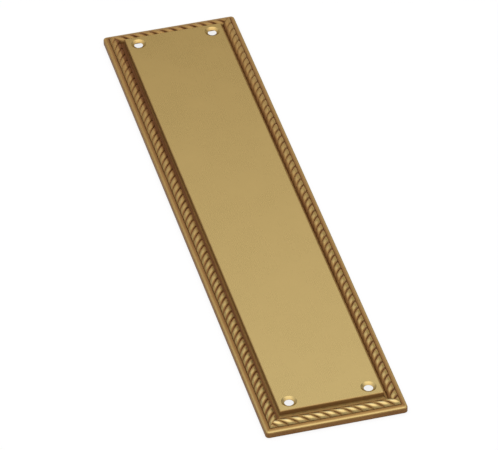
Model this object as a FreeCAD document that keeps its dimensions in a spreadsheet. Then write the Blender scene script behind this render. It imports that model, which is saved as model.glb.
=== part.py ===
"""Door finger plate with a rope-carved border: one brass casting, hollow behind its raised panel.

The plate lies on its back. The origin is the middle of the back face, +Y runs up the door and
+Z comes out of it. Lengths are in millimetres, angles in degrees.
"""
import FreeCAD, Part
import math
import os

import Sketcher

V = FreeCAD.Vector
UP = V(0, 0, 1)

SIZES = {
    # Outline and smooth outer rim
    "plate_length": 300.0,
    "plate_width": 65.0,
    "corner_radius": 1.8,
    "rim_height": 3.0,
    "rim_width": 2.5,
    "rim_arris": 0.8,
    # Sunk bed and the rope lying in it
    "bed_height": 2.7,
    "rope_width": 4.5,
    "rope_clearance": 0.05,
    "rope_stilt": 0.3,
    "rope_embed": 0.4,
    # Strands of the rope: lay and pitch along the side, crease below the bead's top, rise of the
    # strands' own ridge line above it, and place of a side's first crease as a share of the pitch
    "strand_angle": 44.0,
    "strand_pitch": 4.84,
    "crease_depth": 0.85,
    "strand_lift": 0.45,
    "first_crease_long_side": 0.12,
    "first_crease_short_side": 0.6,
    # Quirk and cove at the foot of the panel
    "quirk": 0.2,
    "cove_radius": 1.6,
    # Raised panel, wall of the casting round its hollow, and flat land of the back under the rim
    "panel_height": 6.6,
    "panel_arris": 0.3,
    "wall": 1.0,
    "land_width": 3.0,
    # Countersunk screw holes near the panel's corners
    "hole_margin": 5.6,
    "bore_diameter": 4.2,
    "sink_diameter": 7.0,
    "sink_angle": 120.0,
}

# Distances in from the outer edge to the lines of the moulding
FOOT_INSET = "(sizes.rim_width + sizes.rope_width + 2 * sizes.rope_clearance)"
PANEL_INSET = f"({FOOT_INSET} + sizes.cove_radius)"
RECESS_INSET = f"({PANEL_INSET} + sizes.wall)"
HOLE_INSET = f"({PANEL_INSET} + sizes.hole_margin)"

doc = FreeCAD.newDocument("finger_plate")
sheet = doc.addObject("Spreadsheet::Sheet", "sizes")
for row, (alias, value) in enumerate(SIZES.items(), start=1):
    sheet.set(f"A{row}", alias)
    sheet.set(f"B{row}", str(value))
    sheet.setAlias(f"B{row}", alias)
doc.recompute()


def size(alias):
    """One driving dimension, as the sheet holds it."""
    return float(sheet.get(alias))


foot_inset = size("rim_width") + size("rope_width") + 2 * size("rope_clearance")
panel_inset = foot_inset + size("cove_radius")
recess_inset = panel_inset + size("wall")
half_width = size("plate_width") / 2
half_length = size("plate_length") / 2

body = doc.addObject("PartDesign::Body", "plate")


def sketch_on(role, name, level=None):
    """An empty sketch on one of the body's origin planes, raised by an expression if one is given."""
    sketch = body.newObject("Sketcher::SketchObject", name)
    plane = next(p for p in body.Origin.OriginFeatures if p.Role == role)
    sketch.AttachmentSupport = [(plane, "")]
    sketch.MapMode = "FlatFace"
    if level:
        sketch.setExpression("AttachmentOffset.Base.z", level)
    return sketch


def bind(sketch, name, expression, *constraint):
    """A named dimension of a sketch, tied to the sheet."""
    sketch.addConstraint(Sketcher.Constraint(*constraint))
    sketch.renameConstraint(len(sketch.Constraints) - 1, name)
    sketch.setExpression(f"Constraints.{name}", expression)


def polyline(sketch, points):
    """A closed run of joined lines, in which level lines stay level and upright lines upright."""
    count = len(points)
    for i, start in enumerate(points):
        end = points[(i + 1) % count]
        sketch.addGeometry(Part.LineSegment(V(*start, 0), V(*end, 0)))
        sketch.addConstraint(Sketcher.Constraint("Horizontal" if start[1] == end[1] else "Vertical", i))
    for i in range(count):
        sketch.addConstraint(Sketcher.Constraint("Coincident", i, 2, (i + 1) % count, 1))


def centred_rectangle(sketch, across, along, width, length):
    """A rectangle about the origin, of a first guess in numbers and its true size in expressions."""
    x, y = across / 2, along / 2
    polyline(sketch, [(-x, -y), (x, -y), (x, y), (-x, y)])
    sketch.addConstraint(Sketcher.Constraint("Symmetric", 0, 1, 2, 1, -1, 1))
    bind(sketch, "width", width, "DistanceX", 0, 1, 0, 2, across)
    bind(sketch, "length", length, "DistanceY", 1, 1, 1, 2, along)


def edges_of(shape, wanted):
    """Names of the edges whose bounding box passes a test."""
    return [f"Edge{i}" for i, edge in enumerate(shape.Edges, start=1) if wanted(edge.BoundBox)]


def rounding(name, base, edges, radius):
    """A fillet on named edges of the body."""
    fillet = body.newObject("PartDesign::Fillet", name)
    fillet.Base = (base, edges)
    fillet.setExpression("Radius", radius)
    doc.recompute()
    return fillet


# Moulding: one section, carried round the border with mitred corners
path = sketch_on("XY_Plane", "border_path")
x, y = half_width - panel_inset, half_length - panel_inset
corners = [(x, 0), (x, y), (-x, y), (-x, -y), (x, -y)]
polyline(path, corners)
path.addConstraint(Sketcher.Constraint("PointOnObject", 0, 1, -1))
path.addConstraint(Sketcher.Constraint("Symmetric", 1, 1, 3, 1, -1, 1))
bind(path, "width", f"sizes.plate_width - 2 * {PANEL_INSET}", "DistanceX", 1, 2, 1, 1, 2 * x)
bind(path, "length", f"sizes.plate_length - 2 * {PANEL_INSET}", "DistanceY", 2, 2, 2, 1, 2 * y)

section = sketch_on("XZ_Plane", "moulding_section")
cove_foot = size("bed_height") + size("quirk")
cove_top = cove_foot + size("cove_radius")
outline = [
    (half_width, 0),
    (half_width, size("rim_height")),
    (half_width - size("rim_width"), size("rim_height")),
    (half_width - size("rim_width"), size("bed_height")),
    (half_width - foot_inset, size("bed_height")),
    (half_width - foot_inset, cove_foot),
    (half_width - panel_inset, cove_top),
    (half_width - panel_inset, size("panel_height")),
    (half_width - recess_inset, size("panel_height")),
    (half_width - recess_inset, cove_top),
    (half_width - foot_inset, cove_foot - size("wall")),
    (half_width - size("land_width"), cove_foot - size("wall")),
    (half_width - size("land_width"), 0),
]
cove = outline.index((half_width - foot_inset, cove_foot))
back_cove = outline.index((half_width - recess_inset, cove_top))
for i, start in enumerate(outline):
    end = outline[(i + 1) % len(outline)]
    if i in (cove, back_cove):
        radius = size("cove_radius") if i == cove else size("cove_radius") + size("wall")
        circle = Part.Circle(V(half_width - foot_inset, cove_top, 0), UP, radius)
        section.addGeometry(Part.ArcOfCircle(circle, math.pi, 1.5 * math.pi))
    else:
        section.addGeometry(Part.LineSegment(V(*start, 0), V(*end, 0)))
        section.addConstraint(Sketcher.Constraint("Horizontal" if start[1] == end[1] else "Vertical", i))
for i in range(len(outline)):
    following = (i + 1) % len(outline)
    end_point = 1 if i == cove else 2
    start_point = 2 if following == cove else 1
    section.addConstraint(Sketcher.Constraint("Coincident", i, end_point, following, start_point))
section.addConstraint(Sketcher.Constraint("PointOnObject", 0, 1, -1))
section.addConstraint(Sketcher.Constraint("Vertical", cove, 3, cove, 2))
section.addConstraint(Sketcher.Constraint("Horizontal", cove, 3, cove, 1))
section.addConstraint(Sketcher.Constraint("Coincident", back_cove, 3, cove, 3))
section.addConstraint(Sketcher.Constraint("Horizontal", back_cove, 3, back_cove, 1))
section.addConstraint(Sketcher.Constraint("Vertical", back_cove, 3, back_cove, 2))
bind(section, "half_width", "sizes.plate_width / 2", "DistanceX", -1, 1, 0, 1, half_width)
bind(section, "rim_height", "sizes.rim_height", "DistanceY", 0, 1, 0, 2, size("rim_height"))
bind(section, "rim_width", "sizes.rim_width", "DistanceX", 1, 2, 1, 1, size("rim_width"))
bind(section, "bed_height", "sizes.bed_height", "DistanceY", -1, 1, 2, 2, size("bed_height"))
bed_width = foot_inset - size("rim_width")
bind(section, "bed_width", f"{FOOT_INSET} - sizes.rim_width", "DistanceX", 3, 2, 3, 1, bed_width)
bind(section, "quirk", "sizes.quirk", "DistanceY", 4, 1, 4, 2, size("quirk"))
bind(section, "cove", "sizes.cove_radius", "Radius", cove, size("cove_radius"))
bind(section, "panel_height", "sizes.panel_height", "DistanceY", -1, 1, 6, 2, size("panel_height"))
bind(section, "wall", "sizes.wall", "DistanceX", 7, 2, 7, 1, size("wall"))
land = len(outline) - 1
bind(section, "land", "sizes.land_width", "DistanceX", land, 1, land, 2, size("land_width"))
doc.recompute()

moulding = body.newObject("PartDesign::AdditivePipe", "moulding")
moulding.Profile = section
moulding.Spine = (path, [f"Edge{i}" for i in range(1, len(corners) + 1)])
moulding.Transition = "Right corner"
doc.recompute()

# Flat panel across the middle, with the hollow of the back under it
panel_outline = sketch_on("XY_Plane", "panel_outline", "sizes.panel_height - sizes.wall")
centred_rectangle(
    panel_outline,
    2 * (half_width - recess_inset),
    2 * (half_length - recess_inset),
    f"sizes.plate_width - 2 * {RECESS_INSET}",
    f"sizes.plate_length - 2 * {RECESS_INSET}",
)
panel = body.newObject("PartDesign::Pad", "panel")
panel.Profile = panel_outline
panel.setExpression("Length", "sizes.wall")
doc.recompute()

# Rounded outer corners, rim arris and panel arris
near = 0.01
upright = edges_of(
    panel.Shape,
    lambda b: b.ZLength > size("rim_height") - near and b.ZMax < size("rim_height") + near
    and abs(b.XMax) > half_width - near - b.XLength and abs(b.YMax) > half_length - near - b.YLength,
)
corner_rounding = rounding("corner_rounding", panel, upright, "sizes.corner_radius")
rim_top = edges_of(
    corner_rounding.Shape,
    lambda b: b.ZMin > size("rim_height") - near and b.ZMax < size("rim_height") + near
    and (max(-b.XMin, b.XMax) > half_width - near or max(-b.YMin, b.YMax) > half_length - near),
)
rim_rounding = rounding("rim_rounding", corner_rounding, rim_top, "sizes.rim_arris")
panel_top = edges_of(rim_rounding.Shape, lambda b: b.ZMin > size("panel_height") - near)
panel_rounding = rounding("panel_rounding", rim_rounding, panel_top, "sizes.panel_arris")

# Four countersunk screw holes, one in each corner of the panel
hole_places = sketch_on("XY_Plane", "hole_places", "sizes.panel_height")
hole_x = half_width - panel_inset - size("hole_margin")
hole_y = half_length - panel_inset - size("hole_margin")
for i, (sx, sy) in enumerate(((-1, -1), (1, -1), (1, 1), (-1, 1))):
    hole_places.addGeometry(Part.Circle(V(sx * hole_x, sy * hole_y, 0), UP, size("bore_diameter") / 2))
    bind(hole_places, f"bore_{i}", "sizes.bore_diameter", "Diameter", i, size("bore_diameter"))
    across = f"{sx} * (sizes.plate_width / 2 - {HOLE_INSET})"
    along = f"{sy} * (sizes.plate_length / 2 - {HOLE_INSET})"
    bind(hole_places, f"across_{i}", across, "DistanceX", -1, 1, i, 3, sx * hole_x)
    bind(hole_places, f"along_{i}", along, "DistanceY", -1, 1, i, 3, sy * hole_y)
doc.recompute()
holes = body.newObject("PartDesign::Hole", "screw_holes")
holes.Profile = hole_places
holes.Threaded = False
holes.ThreadType = "None"
holes.DepthType = "ThroughAll"
holes.HoleCutType = "Countersink"
holes.HoleCutCustomValues = True
holes.setExpression("Diameter", "sizes.bore_diameter")
holes.setExpression("HoleCutDiameter", "sizes.sink_diameter")
holes.setExpression("HoleCutCountersinkAngle", "sizes.sink_angle")
doc.recompute()


# Rope: a half-round bead along each side, carved across by rounded strands that all twist one way
def strand_block(run, first_crease):
    """Ridged block whose rounded ridges lie side by side at the strand angle to the side of the plate."""
    lay = math.radians(size("strand_angle"))
    pitch = size("strand_pitch")
    breadth = pitch * math.sin(lay)
    bead_top = size("bed_height") + size("rope_stilt") + size("rope_width") / 2
    crest = bead_top + size("strand_lift")
    crease = bead_top - size("crease_depth")
    base = size("bed_height") - size("rope_embed")
    spare = 2
    first = (-run / 2 + (first_crease - spare) * pitch) * math.sin(lay)
    creases = [first + i * breadth for i in range(math.ceil(run / pitch) + 2 * spare + 1)]
    ridges = [
        Part.Arc(V(0, a, crease), V(0, (a + b) / 2, crest), V(0, b, crease)).toShape()
        for a, b in zip(creases, creases[1:])
    ]
    start, end = creases[0], creases[-1]
    floor = Part.makePolygon([V(0, end, crease), V(0, end, base), V(0, start, base), V(0, start, crease)])
    reach = run + 2 * size("plate_width")
    block = Part.Face(Part.Wire(ridges + floor.Edges)).extrude(V(reach, 0, 0))
    block.translate(V(-reach / 2, 0, 0))
    block.rotate(V(0, 0, 0), UP, -size("strand_angle"))
    return block


def rope_side(run, first_crease):
    """Rope of one side, lying along X with the panel on its +Y side, mitred at both ends."""
    width = size("rope_width")
    base = size("bed_height") - size("rope_embed")
    start = V(-run / 2 - width, 0, size("bed_height") + size("rope_stilt"))
    bead = Part.makeCylinder(width / 2, run + 2 * width, start, V(1, 0, 0))
    mitred = Part.makePolygon([
        V(-run / 2 - width, -width, base), V(run / 2 + width, -width, base),
        V(run / 2 - width, width, base), V(-run / 2 + width, width, base),
        V(-run / 2 - width, -width, base),
    ])
    room = Part.Face(mitred).extrude(V(0, 0, size("rope_embed") + size("rope_stilt") + width))
    return bead.common(room).common(strand_block(run, first_crease))


def rope_object(name, run, first_crease, turn, place):
    """One side's rope in the document, turned to its side of the plate."""
    rope = doc.addObject("Part::Feature", name)
    rope.Shape = rope_side(run, first_crease).Solids[0]
    rope.Placement = FreeCAD.Placement(place, FreeCAD.Rotation(UP, turn))
    return rope


rope_inset = size("rim_width") + size("rope_clearance") + size("rope_width") / 2
across, along = half_width - rope_inset, half_length - rope_inset
first_long = size("first_crease_long_side")
first_short = size("first_crease_short_side")
ropes = [
    rope_object("rope_bottom", 2 * across, first_short, 0, V(0, -along, 0)),
    rope_object("rope_right", 2 * along, first_long, 90, V(across, 0, 0)),
    rope_object("rope_top", 2 * across, first_short, 180, V(0, along, 0)),
    rope_object("rope_left", 2 * along, first_long, -90, V(-across, 0, 0)),
]

finger_plate = doc.addObject("Part::MultiFuse", "finger_plate")
finger_plate.Shapes = [body] + ropes
finger_plate.Refine = True
finger_plate.Label = "finger_plate"
doc.recompute()

for item in doc.Objects:
    if "Invalid" in item.State or "Error" in item.State:
        raise RuntimeError(f"{item.Label} did not build: {item.State}")
shape = finger_plate.Shape
if shape.isNull() or not shape.isValid() or len(shape.Solids) != 1:
    raise RuntimeError("finger_plate is not one sound solid")

os.makedirs("parts", exist_ok=True)
shape.Solids[0].exportStep(os.path.join("parts", f"{finger_plate.Label}.step"))
print(f"finger_plate: {shape.Volume / 1000:.2f} cm3, {len(shape.Faces)} faces, {shape.BoundBox}")
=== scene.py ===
import math

import bmesh
import bpy
import numpy as np
from mathutils import Matrix, Vector


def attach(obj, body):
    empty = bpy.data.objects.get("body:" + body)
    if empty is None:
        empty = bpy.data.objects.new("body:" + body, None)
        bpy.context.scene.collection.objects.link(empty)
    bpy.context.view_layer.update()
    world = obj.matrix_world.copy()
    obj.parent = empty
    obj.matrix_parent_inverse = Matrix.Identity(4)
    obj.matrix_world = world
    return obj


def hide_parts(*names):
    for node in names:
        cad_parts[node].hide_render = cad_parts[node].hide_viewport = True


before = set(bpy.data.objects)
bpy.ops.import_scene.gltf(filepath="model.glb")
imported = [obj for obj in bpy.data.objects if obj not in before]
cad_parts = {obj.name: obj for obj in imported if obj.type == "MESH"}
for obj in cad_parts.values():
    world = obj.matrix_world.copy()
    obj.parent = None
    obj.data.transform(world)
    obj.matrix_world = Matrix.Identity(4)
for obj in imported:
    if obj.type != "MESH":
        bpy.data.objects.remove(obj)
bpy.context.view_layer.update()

MM = 0.001

# Sizes of the plate in millimetres. They are the CAD's, but for the rope's axis and rise, the slope of the rim
# and the panel's arris, which were measured on the photo later
LENGTH, WIDTH = 300.0, 65.0
CORNER_RADIUS = 1.8
RIM_HEIGHT, RIM_WIDTH, RIM_ARRIS = 3.0, 2.5, 0.8
BED_HEIGHT = 2.7
ROPE_WIDTH, ROPE_CLEARANCE, ROPE_EMBED = 4.5, 0.05, 0.4
ROPE_AXIS, ROPE_RISE = 3.3, 0.78
STRAND_ANGLE, STRAND_PITCH, CREASE_DEPTH = 44.0, 4.84, 0.85
FIRST_CREASE_LONG, FIRST_CREASE_SHORT = 0.12, 0.6
QUIRK, COVE = 0.2, 1.6
PANEL_HEIGHT, PANEL_ARRIS, WALL, LAND = 6.6, 0.5, 1.0, 3.0
HOLE_MARGIN, BORE_RADIUS, SINK_RADIUS, SINK_ANGLE = 5.6, 2.1, 3.5, 120.0

# Edges of the back are eased by this much, and a point this close to an edge keeps the flat beside it even
EASE, HOLD = 0.2, 0.05

# Patina and painted light runs from -1 on a painted highlight of pale brass, through 0 on bare brass and 1
# under a brown film that is partly patina and partly painted shade, to 2 of painted shade in the deepest
# creases. The lower end of the plate is painted the brightest. Tarnish and painted shade, set for how each side
# is lit, are added to it at the start and end of each corner, anticlockwise from the upper right one.
RIM_TARNISH_AND_SHADE = (0.75, 0.6, 0.6, 0.85, 0.65, 0.25, 0.25, 0.65)
COVE_TARNISH_AND_SHADE = (-0.5, 0.0, 0.0, 0.9, 0.0, -0.2, -0.2, -0.8)
WALL_TARNISH_AND_SHADE = (-0.5, 0.0, 0.0, -0.2, -0.1, 0.4, 0.4, -0.6)

# Rope of each side: patina and painted light over the strands, with a painted highlight below 0, painted shade
# in the creases and on the flank by the panel, and that flank's gain from the lower end of the plate to the
# upper one
ROPE_PATINA_AND_LIGHT = {
    "bottom": (-0.8, 0.6, 0.0, 0.0),
    "right": (0.25, 0.78, 1.5, -0.9),
    "top": (0.75, 1.3, 0.0, 0.0),
    "left": (0.3, 1.0, 0.9, 3.5),
}

# Rim from its arris to the bed: inset, height, patina and painted shade, darker toward the groove by the rope,
# and share of the side's tarnish and painted shade
RIM_SLOPE = (
    (1.0, 3.06, 0.4, 0.4), (1.3, 3.14, 0.7, 0.5), (1.6, 3.23, 0.85, 0.6), (1.9, 3.32, 0.95, 0.7),
    (2.1, 3.37, 1.15, 0.8), (2.2, 3.38, 1.2, 0.7), (2.28, 3.35, 1.3, 0.4), (2.34, 3.25, 1.4, 0.2),
    (2.42, BED_HEIGHT + 0.3, 1.5, 0), (RIM_WIDTH, BED_HEIGHT + 0.2, 1.7, 0),
)

FOOT = RIM_WIDTH + ROPE_WIDTH + 2 * ROPE_CLEARANCE
PANEL = FOOT + COVE
RECESS = PANEL + WALL
ROPE_LINE = RIM_WIDTH + ROPE_CLEARANCE + ROPE_WIDTH / 2


def arc(cx, cz, radius, start, end, steps):
    """Points of an arc of the section, by angle from the inward direction."""
    angles = np.radians(np.linspace(start, end, steps + 1))
    return [(cx + radius * math.cos(a), cz + radius * math.sin(a)) for a in angles]


def border_section():
    """Section of the border from the ceiling of the hollow round the outside to the panel.

    Each point is an inset, a height, the patina and painted shade there and the share of its side's tarnish and
    painted shade that it takes.
    """
    ceiling = PANEL_HEIGHT - WALL
    cove_top = BED_HEIGHT + QUIRK + COVE
    under = cove_top - COVE - WALL

    # Hollow of the back, out to the land that lies on the door
    fillet = 0.4
    points = [(RECESS + 0.6, ceiling, 0.5, 0), (RECESS + 0.5, ceiling, 0.5, 0)]
    points += [(x, z, 0.6, 0) for x, z in arc(RECESS + fillet, ceiling - fillet, fillet, 90, 180, 4)]
    points += [(x, z, 0.5, 0) for x, z in arc(FOOT, cove_top, COVE + WALL, 0, -90, 12)]
    points += [(LAND + EASE + HOLD, under, 0.5, 0), (LAND + EASE, under, 0.5, 0), (LAND, under - EASE, 0.4, 0)]
    points += [(LAND, EASE + HOLD, 0.3, 0), (LAND, EASE, 0.3, 0)]
    points += [(LAND - EASE, 0.0, 0.3, 0), (LAND - EASE - HOLD, 0.0, 0.3, 0)]

    # Outer edge, arris and rim
    outside = [(EASE + HOLD, 0.0), (EASE, 0.0), (0.3 * EASE, 0.3 * EASE), (0.0, EASE), (0.0, EASE + HOLD)]
    outside += [(0.0, RIM_HEIGHT - RIM_ARRIS - HOLD)]
    # The outer wall is painted dark brown, partly patina and partly painted shade for the dark that it mirrors,
    # fading over the arris.
    points += [(x, z, 1.6, 0) for x, z in outside]
    arris = arc(RIM_ARRIS, RIM_HEIGHT - RIM_ARRIS, RIM_ARRIS, 180, 105, 10)
    points += [(x, z, max(0.05, 1.6 - 0.22 * i), min(0.12 * i, 0.6)) for i, (x, z) in enumerate(arris)]
    points += RIM_SLOPE

    # Bed under the rope, cove, upright edge and panel
    # Painted shade on the bed under the rope and in the cove: darkest at the cove's foot, lighter in its middle
    # and darker again at its top.
    points += [(FOOT, BED_HEIGHT, 2.0, 0)]
    cove = arc(FOOT, cove_top, COVE, -90, 0, 12)
    patina_and_light_level = np.interp(range(13), (0, 3, 5, 7, 9, 10.5, 12), (2.0, 1.8, 1.3, 0.75, 0.6, 0.9, 1.15))
    points += [(x, z, g, 1) for (x, z), g in zip(cove, patina_and_light_level)]
    # Painted shade on the panel's upright wall and over its arris, which takes away the arris's highlight.
    points += [(PANEL, cove_top + 0.2, 1.1, 0.5), (PANEL, PANEL_HEIGHT - PANEL_ARRIS - HOLD, 1.0, 1)]
    edge = arc(PANEL + PANEL_ARRIS, PANEL_HEIGHT - PANEL_ARRIS, PANEL_ARRIS, 180, 90, 6)
    points += [(x, z, 1.0 - 0.13 * i, 1 - i / 8) for i, (x, z) in enumerate(edge)]
    points += [(PANEL + PANEL_ARRIS + HOLD, PANEL_HEIGHT, 0.0, 0)]
    return points


def rounded_loop(inset, height, radius, steps):
    """Rectangle at an inset from the outer edge, with rounded corners, anticlockwise from above."""
    x, y = WIDTH / 2 - inset - radius, LENGTH / 2 - inset - radius
    loop = []
    for quarter, (sx, sy) in enumerate(((1, 1), (-1, 1), (-1, -1), (1, -1))):
        for a in np.radians(np.linspace(90 * quarter, 90 * quarter + 90, steps + 1)):
            loop.append((sx * x + radius * math.cos(a), sy * y + radius * math.sin(a), height))
    return loop


def mesh_object(name, verts, faces, patina_and_painted_light):
    """A mesh in metres from points in millimetres, with its patina and painted light as a point attribute."""
    mesh = bpy.data.meshes.new(name)
    mesh.from_pydata([tuple(c * MM for c in v) for v in verts], [], faces)
    layer = mesh.attributes.new("patina_and_painted_light", "FLOAT", "POINT")
    layer.data.foreach_set("value", np.asarray(patina_and_painted_light, np.float32))
    mesh.validate()
    obj = bpy.data.objects.new(name, mesh)
    bpy.context.scene.collection.objects.link(obj)
    return obj


def border_and_panel():
    """Everything but the rope: border swept round the plate, panel, and the hollow of the back."""
    steps = 8
    section = border_section()
    verts, patina_and_painted_light = [], []
    ring = 4 * (steps + 1)
    for inset, height, patina_and_light_level, share in section:
        verts += rounded_loop(inset, height, max(CORNER_RADIUS - inset, 0.1), steps)
        ends = RIM_TARNISH_AND_SHADE if inset < RIM_WIDTH else COVE_TARNISH_AND_SHADE if inset < PANEL else WALL_TARNISH_AND_SHADE
        for start, end in zip(ends[::2], ends[1::2]):
            patina_and_painted_light += (patina_and_light_level + share * np.linspace(start, end, steps + 1)).tolist()
    faces = [tuple(reversed(range(ring)))]
    for i in range(len(section) - 1):
        a, b = i * ring, (i + 1) * ring
        faces += [(a + k, a + (k + 1) % ring, b + (k + 1) % ring, b + k) for k in range(ring)]
    faces.append(tuple(range((len(section) - 1) * ring, len(section) * ring)))
    return mesh_object("finger_plate_body", verts, faces, patina_and_painted_light)


def hole_cutter(x, y):
    """Turned shape of a countersunk hole, with its sharp edge just broken."""
    edge = 0.08
    depth = (SINK_RADIUS - BORE_RADIUS) / math.tan(math.radians(SINK_ANGLE / 2))
    outline = [
        (SINK_RADIUS + 3 * edge, PANEL_HEIGHT + 1.0),
        (SINK_RADIUS + edge + 0.02, PANEL_HEIGHT + 0.02),
        (SINK_RADIUS - 0.3 * edge, PANEL_HEIGHT - edge),
        (BORE_RADIUS, PANEL_HEIGHT - depth),
        (BORE_RADIUS, PANEL_HEIGHT - WALL - 1.0),
    ]
    sides = 72
    verts = []
    for radius, height in outline:
        for a in np.linspace(0, 2 * math.pi, sides, endpoint=False):
            verts.append((x + radius * math.cos(a), y + radius * math.sin(a), height))
    faces = [tuple(range(sides))]
    for i in range(len(outline) - 1):
        a, b = i * sides, (i + 1) * sides
        faces += [(a + k, b + k, b + (k + 1) % sides, a + (k + 1) % sides) for k in range(sides)]
    faces.append(tuple(reversed(range((len(outline) - 1) * sides, len(outline) * sides))))
    return mesh_object("hole_cutter", verts, faces, [0.0] * len(verts))


def brighten_hole(obj, x, y):
    """Nearly bare brass on the worked faces of a hole, a little dull toward the bore."""
    for point, patina_and_light_level in zip(obj.data.vertices, obj.data.attributes["patina_and_painted_light"].data):
        near = math.hypot(point.co.x / MM - x, point.co.y / MM - y) < SINK_RADIUS + 0.5
        if near and point.co.z / MM > PANEL_HEIGHT - WALL - 0.1:
            patina_and_light_level.value = 0.0 if point.co.z / MM > PANEL_HEIGHT - 0.1 else 0.25


def cut(obj, cutter):
    """Takes one solid out of another and throws the cutter away."""
    change = obj.modifiers.new("cut", "BOOLEAN")
    change.operation = "DIFFERENCE"
    change.solver = "EXACT"
    change.object = cutter
    graph = bpy.context.evaluated_depsgraph_get()
    mesh = bpy.data.meshes.new_from_object(obj.evaluated_get(graph))
    obj.modifiers.clear()
    old = obj.data
    obj.data = mesh
    bpy.data.meshes.remove(old)
    bpy.data.objects.remove(cutter)


def rope_side(side, run, first_crease, turn, place, rng):
    """Rope of one side: a low round bead of helical strands, cut off at the plate's corner mitres."""
    radius = ROPE_WIDTH / 2
    per_strand, around, spare = 12, 32, 3
    theta = np.radians(np.linspace(-100, 100, around + 1))
    twist = radius / math.tan(math.radians(STRAND_ANGLE)) * (0.45 * theta + 0.55 * np.sin(theta))
    fade = np.clip((np.radians(105) - np.abs(theta)) / np.radians(50), 0, 1)

    # Rows of points run along the strands, closer together at the creases
    count = math.ceil(run / STRAND_PITCH) + 2 * spare
    part = np.tile(0.5 - 0.5 * np.cos(np.pi * np.arange(per_strand) / per_strand), count)
    strand = np.repeat(np.arange(count), per_strand)
    drift = np.interp(strand + part, np.arange(count + 1), rng.normal(0, 0.02, count + 1))
    swell = rng.normal(0, 0.05, count).clip(-0.1, 0.1)[strand]
    start = -run / 2 + (strand + part + drift - spare + first_crease) * STRAND_PITCH
    across = np.abs(2 * part - 1)
    dip = 0.2 * across**2 + 0.8 * across**5

    dip = dip[:, None] * fade
    along = start[:, None] - twist
    r = radius - CREASE_DEPTH * (1 + swell[:, None]) * dip
    lateral = r * np.sin(theta)
    z = np.maximum(ROPE_AXIS + ROPE_RISE * r * np.cos(theta), BED_HEIGHT - ROPE_EMBED)
    z[:, 0] = z[:, -1] = BED_HEIGHT - ROPE_EMBED

    # Painted shade in the creases, spread wide so that each strand looks rounded, at the foot and on the inner
    # flank, with patina and painted shade over the strands, darker toward the upper end. A film below 0 is a
    # painted highlight that makes the crest pale.
    film_and_painted_light, crease, flank, gain = ROPE_PATINA_AND_LIGHT[side]
    up = along * math.sin(math.radians(turn)) / run
    low = np.clip(BED_HEIGHT + 1.2 - z, 0, 1)
    dark = np.interp(across, (0.2, 0.62, 0.9), (0, 1.0, 2.2))[:, None] * np.sqrt(fade)
    inner = np.clip((np.degrees(theta) - 13 + 12 * gain * up.clip(0)) / 35, 0, 1)
    over = film_and_painted_light + up * (film_and_painted_light > 0) + np.maximum(flank + gain * up, 0.5 * flank) * inner
    patina_and_painted_light = np.maximum((1 - 0.4 * up) * crease * dark, over)
    patina_and_painted_light = np.maximum(patina_and_painted_light, 1.5 * crease * low).clip(0, 2)
    # Painted highlight on the crest, away from its outer flank.
    crest = np.clip(1 - dark - 2 * low, 0, 1) * np.interp(np.degrees(theta), (-35, 0), (0, 1))
    patina_and_painted_light = patina_and_painted_light + min(film_and_painted_light, 0) * crest

    verts = np.stack([along, lateral, z], -1).reshape(-1, 3)
    index = np.arange(len(verts)).reshape(along.shape)
    a, b = index[:-1], index[1:]
    faces = np.stack([np.roll(a, -1, 1), np.roll(b, -1, 1), b, a], -1).reshape(-1, 4).tolist()
    faces.append(index[0].tolist())
    faces.append(index[-1][::-1].tolist())
    obj = mesh_object(f"finger_plate_rope_{side}", verts.tolist(), faces, patina_and_painted_light.ravel())

    bm = bmesh.new()
    bm.from_mesh(obj.data)
    for end in (-1, 1):
        geometry = bm.verts[:] + bm.edges[:] + bm.faces[:]
        found = bmesh.ops.bisect_plane(
            bm, geom=geometry, dist=1e-7,
            plane_co=(end * run / 2 * MM, 0, 0), plane_no=(end, 1, 0), clear_outer=True,
        )
        rim = [e for e in found["geom_cut"] if isinstance(e, bmesh.types.BMEdge)]
        bmesh.ops.edgenet_fill(bm, edges=rim)
    spot = Matrix.Translation((place[0] * MM, place[1] * MM, 0))
    bm.transform(spot @ Matrix.Rotation(math.radians(turn), 4, "Z"))
    bmesh.ops.recalc_face_normals(bm, faces=bm.faces[:])
    if bm.calc_volume(signed=True) < 0:
        bmesh.ops.reverse_faces(bm, faces=bm.faces[:])
    bm.to_mesh(obj.data)
    bm.free()
    return obj


plate = border_and_panel()
hole_x, hole_y = WIDTH / 2 - PANEL - HOLE_MARGIN, LENGTH / 2 - PANEL - HOLE_MARGIN
for sx in (-1, 1):
    for sy in (-1, 1):
        cut(plate, hole_cutter(sx * hole_x, sy * hole_y))
        brighten_hole(plate, sx * hole_x, sy * hole_y)

rng = np.random.default_rng(61)
across, along = WIDTH / 2 - ROPE_LINE, LENGTH / 2 - ROPE_LINE
ropes = [
    rope_side("bottom", 2 * across, FIRST_CREASE_SHORT, 0, (0, -along), rng),
    rope_side("right", 2 * along, FIRST_CREASE_LONG, 90, (across, 0), rng),
    rope_side("top", 2 * across, FIRST_CREASE_SHORT, 180, (0, along), rng),
    rope_side("left", 2 * along, FIRST_CREASE_LONG, -90, (-across, 0), rng),
]


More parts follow.
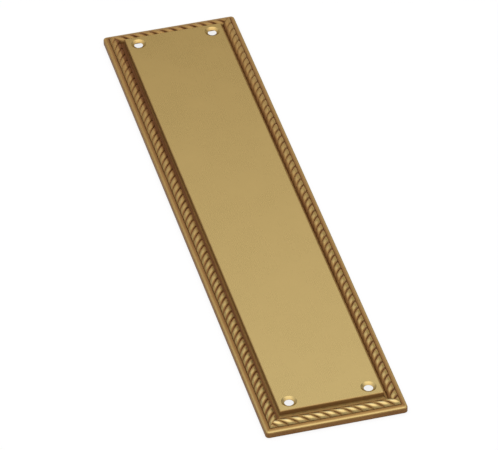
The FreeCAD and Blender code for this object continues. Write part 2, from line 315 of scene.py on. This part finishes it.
class Nodes:
    """Short way to lay out a material's nodes."""

    def __init__(self, tree):
        self.tree = tree
        tree.nodes.clear()

    def add(self, kind, **settings):
        node = self.tree.nodes.new(kind)
        for key, value in settings.items():
            setattr(node, key, value)
        return node

    def put(self, socket, value):
        if isinstance(value, bpy.types.NodeSocket):
            self.tree.links.new(value, socket)
        else:
            socket.default_value = value

    def math(self, operation, *values, clamp=False):
        node = self.add("ShaderNodeMath", operation=operation, use_clamp=clamp)
        for socket, value in zip(node.inputs, values):
            self.put(socket, value)
        return node.outputs[0]

    def mix(self, factor, a, b, blend="MIX"):
        node = self.add("ShaderNodeMix", data_type="RGBA", blend_type=blend)
        self.put(node.inputs["Factor"], factor)
        self.put(node.inputs[6], a)
        self.put(node.inputs[7], b)
        return node.outputs[2]

    def noise(self, coords, scale, detail=2.0, rough=0.5):
        node = self.add("ShaderNodeTexNoise")
        self.put(node.inputs["Vector"], coords)
        self.put(node.inputs["Scale"], scale)
        self.put(node.inputs["Detail"], detail)
        self.put(node.inputs["Roughness"], rough)
        return node.outputs["Fac"]

    def ramp(self, value, start, end):
        node = self.add("ShaderNodeMapRange")
        for socket, number in zip(node.inputs, (value, start, end, 0.0, 1.0)):
            self.put(socket, number)
        return node.outputs["Result"]

    def stretch(self, coords, scale):
        node = self.add("ShaderNodeMapping")
        self.put(node.inputs["Vector"], coords)
        self.put(node.inputs["Scale"], scale)
        return node.outputs["Vector"]


def brass_material():
    """Satin brass: polished on the high parts, brown in the grooves from patina and painted shade, with a fine
    grain along the plate.
    """
    material = bpy.data.materials.new("satin_brass")
    material.use_nodes = True
    n = Nodes(material.node_tree)
    coords = n.add("ShaderNodeTexCoord").outputs["Object"]
    patina_and_painted_light = n.add("ShaderNodeAttribute", attribute_name="patina_and_painted_light", attribute_type="GEOMETRY").outputs["Fac"]
    cloud = n.noise(coords, 60.0, 4.0, 0.6)
    speck = n.noise(coords, 900.0, 2.0, 0.5)
    grain = n.noise(n.stretch(coords, (1.0, 0.02, 1.0)), 2600.0, 2.0, 0.6)

    patch = n.math("MULTIPLY_ADD", cloud, 0.5, 0.75)
    patina_and_light_level = n.math("MULTIPLY", patina_and_painted_light, patch)
    film_and_painted_light = n.math("MULTIPLY", patina_and_light_level, 1.0, clamp=True)
    deep = n.math("SUBTRACT", patina_and_light_level, 1.0, clamp=True)
    bright = n.mix(cloud, (0.455, 0.34, 0.14, 1), (0.51, 0.38, 0.158, 1))
    bright = n.mix(n.math("MULTIPLY", speck, 0.06), bright, (0.36, 0.25, 0.09, 1))
    # Painted shade: the bare brass darkens toward the upper end of the plate.
    place = n.add("ShaderNodeSeparateXYZ")
    n.put(place.inputs[0], coords)
    upper_end_shade = n.ramp(place.outputs["Y"], -LENGTH / 2 * MM, LENGTH / 2 * MM)
    bright = n.mix(upper_end_shade, bright, (0.95, 0.88, 0.8, 1), "MULTIPLY")
    # Painted highlight: below 0 the colour turns toward a pale brass.
    painted_highlight = n.math("MULTIPLY", patina_and_light_level, -1.0, clamp=True)
    colour = n.mix(painted_highlight, bright, (0.54, 0.43, 0.235, 1))
    # Brown film, partly patina and partly painted shade, then painted shade in the deepest creases.
    colour = n.mix(film_and_painted_light, colour, (0.30, 0.165, 0.052, 1))
    colour = n.mix(deep, colour, (0.15, 0.06, 0.02, 1))

    rough = n.math("MULTIPLY_ADD", cloud, 0.06, 0.22)
    rough = n.math("MULTIPLY_ADD", film_and_painted_light, 0.22, rough)
    rough = n.math("MULTIPLY_ADD", grain, 0.06, rough, clamp=True)

    bump = n.add("ShaderNodeBump")
    n.put(bump.inputs["Strength"], 0.015)
    n.put(bump.inputs["Distance"], 0.00005)
    n.put(bump.inputs["Height"], n.math("ADD", grain, n.math("MULTIPLY", speck, 0.6)))

    shader = n.add("ShaderNodeBsdfPrincipled")
    n.put(shader.inputs["Base Color"], colour)
    n.put(shader.inputs["Metallic"], n.math("MULTIPLY_ADD", film_and_painted_light, -0.85, 1.0))
    n.put(shader.inputs["Specular IOR Level"], 0.2)
    n.put(shader.inputs["Roughness"], rough)
    n.put(shader.inputs["Specular Tint"], (0.5, 0.4, 0.26, 1))
    n.put(shader.inputs["Normal"], bump.outputs["Normal"])
    out = n.add("ShaderNodeOutputMaterial")
    n.tree.links.new(shader.outputs["BSDF"], out.inputs["Surface"])
    return material


brass = brass_material()
for piece in [plate] + ropes:
    piece.data.materials.clear()
    piece.data.materials.append(brass)
    piece.data.polygons.foreach_set("use_smooth", np.ones(len(piece.data.polygons), bool))
    piece.data.set_sharp_from_angle(angle=math.radians(38))
    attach(piece, "root")
    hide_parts("finger_plate")


def floor_material():
    """Pale table: it keeps a soft shadow, and is close to white where it is seen directly or in the metal."""
    material = bpy.data.materials.new("pale_floor")
    material.use_nodes = True
    n = Nodes(material.node_tree)
    path = n.add("ShaderNodeLightPath")
    coords = n.add("ShaderNodeTexCoord").outputs["Object"]
    lit = n.add("ShaderNodeBsdfDiffuse")
    n.put(lit.inputs["Color"], n.mix(n.noise(coords, 3.0), (0.90, 0.90, 0.90, 1), (0.92, 0.92, 0.92, 1)))
    white = n.add("ShaderNodeEmission")
    n.put(white.inputs["Color"], (1, 1, 1, 1))
    n.put(white.inputs["Strength"], 1.0)
    seen = n.math("MAXIMUM", path.outputs["Is Camera Ray"], path.outputs["Is Glossy Ray"])
    seen = n.math("MAXIMUM", seen, path.outputs["Is Transmission Ray"])
    both = n.add("ShaderNodeMixShader")
    n.put(both.inputs[0], n.math("MULTIPLY", seen, 0.85))
    n.put(both.inputs[1], lit.outputs[0])
    n.put(both.inputs[2], white.outputs[0])
    out = n.add("ShaderNodeOutputMaterial")
    n.put(out.inputs["Surface"], both.outputs[0])
    return material


bpy.ops.mesh.primitive_plane_add(size=6.0, location=(0, 0, -0.0002))
floor = bpy.context.object
floor.name = "floor"
floor.data.materials.append(floor_material())


def softbox(name, place, aim, size, power):
    """A large soft rectangular light aimed at a point."""
    light = bpy.data.lights.new(name, "AREA")
    light.shape = "RECTANGLE"
    light.size, light.size_y = size
    light.energy = power
    obj = bpy.data.objects.new(name, light)
    obj.location = place
    obj.rotation_euler = (Vector(aim) - Vector(place)).to_track_quat("-Z", "Y").to_euler()
    bpy.context.scene.collection.objects.link(obj)
    return obj


softbox("overhead", (0.1, -0.05, 1.6), (0.1, -0.05, 0), (3.4, 4.5), 45.2)
softbox("key", (0.0, -0.1, 1.55), (0, -0.1, 0), (1.6, 1.8), 7.8)

# The room is a dim grey to the object, white to the camera, and pale round the horizon in the metal
world = bpy.data.worlds.new("studio")
bpy.context.scene.world = world
world.use_nodes = True
w = Nodes(world.node_tree)
way = w.add("ShaderNodeSeparateXYZ")
w.put(way.inputs[0], w.add("ShaderNodeTexCoord").outputs["Generated"])
low = w.ramp(way.outputs["Z"], 0.55, 0.2)
behind = w.ramp(way.outputs["Y"], -0.2, 0.3)
around = w.math("MULTIPLY_ADD", behind, 0.4, 0.6)
path = w.add("ShaderNodeLightPath")
sweep = w.math("MULTIPLY", w.math("MULTIPLY", low, around), path.outputs["Is Glossy Ray"])
seen = w.math("MAXIMUM", path.outputs["Is Camera Ray"], path.outputs["Is Transmission Ray"])
room = w.add("ShaderNodeBackground")
w.put(room.inputs["Color"], (1, 1, 1, 1))
strength = w.math("MULTIPLY_ADD", sweep, 0.45, 0.32)
w.put(room.inputs["Strength"], w.math("MULTIPLY_ADD", seen, 0.68, strength))
out = w.add("ShaderNodeOutputWorld")
w.put(out.inputs["Surface"], room.outputs[0])


def photo_camera():
    """Camera at the photo's viewing angle, with the focal length and the photo's width in pixels."""
    azimuth, elevation, roll = math.radians(-14.503), math.radians(38.976), math.radians(-0.8505)
    focal, photo_width, distance = 5317.5, 498, 2442.2
    target = Vector((-2.022, -7.528, 3.0)) * MM
    level = math.cos(elevation)
    back = Vector((math.sin(azimuth) * level, -math.cos(azimuth) * level, math.sin(elevation)))
    right = (-back).cross(Vector((0, 0, 1))).normalized()
    up = right.cross(-back)
    c, s = math.cos(roll), math.sin(roll)
    right, up = c * right + s * up, c * up - s * right
    data = bpy.data.cameras.new("photo")
    data.sensor_width = 36.0
    data.lens = focal / photo_width * data.sensor_width
    data.clip_start, data.clip_end = 0.1, 20.0
    camera = bpy.data.objects.new("photo", data)
    turned = Matrix((right, up, back)).transposed().to_4x4()
    camera.matrix_world = Matrix.Translation(target + back * distance * MM) @ turned
    bpy.context.scene.collection.objects.link(camera)
    return camera


scene = bpy.context.scene
scene.camera = photo_camera()
scene.view_settings.view_transform = "Standard"
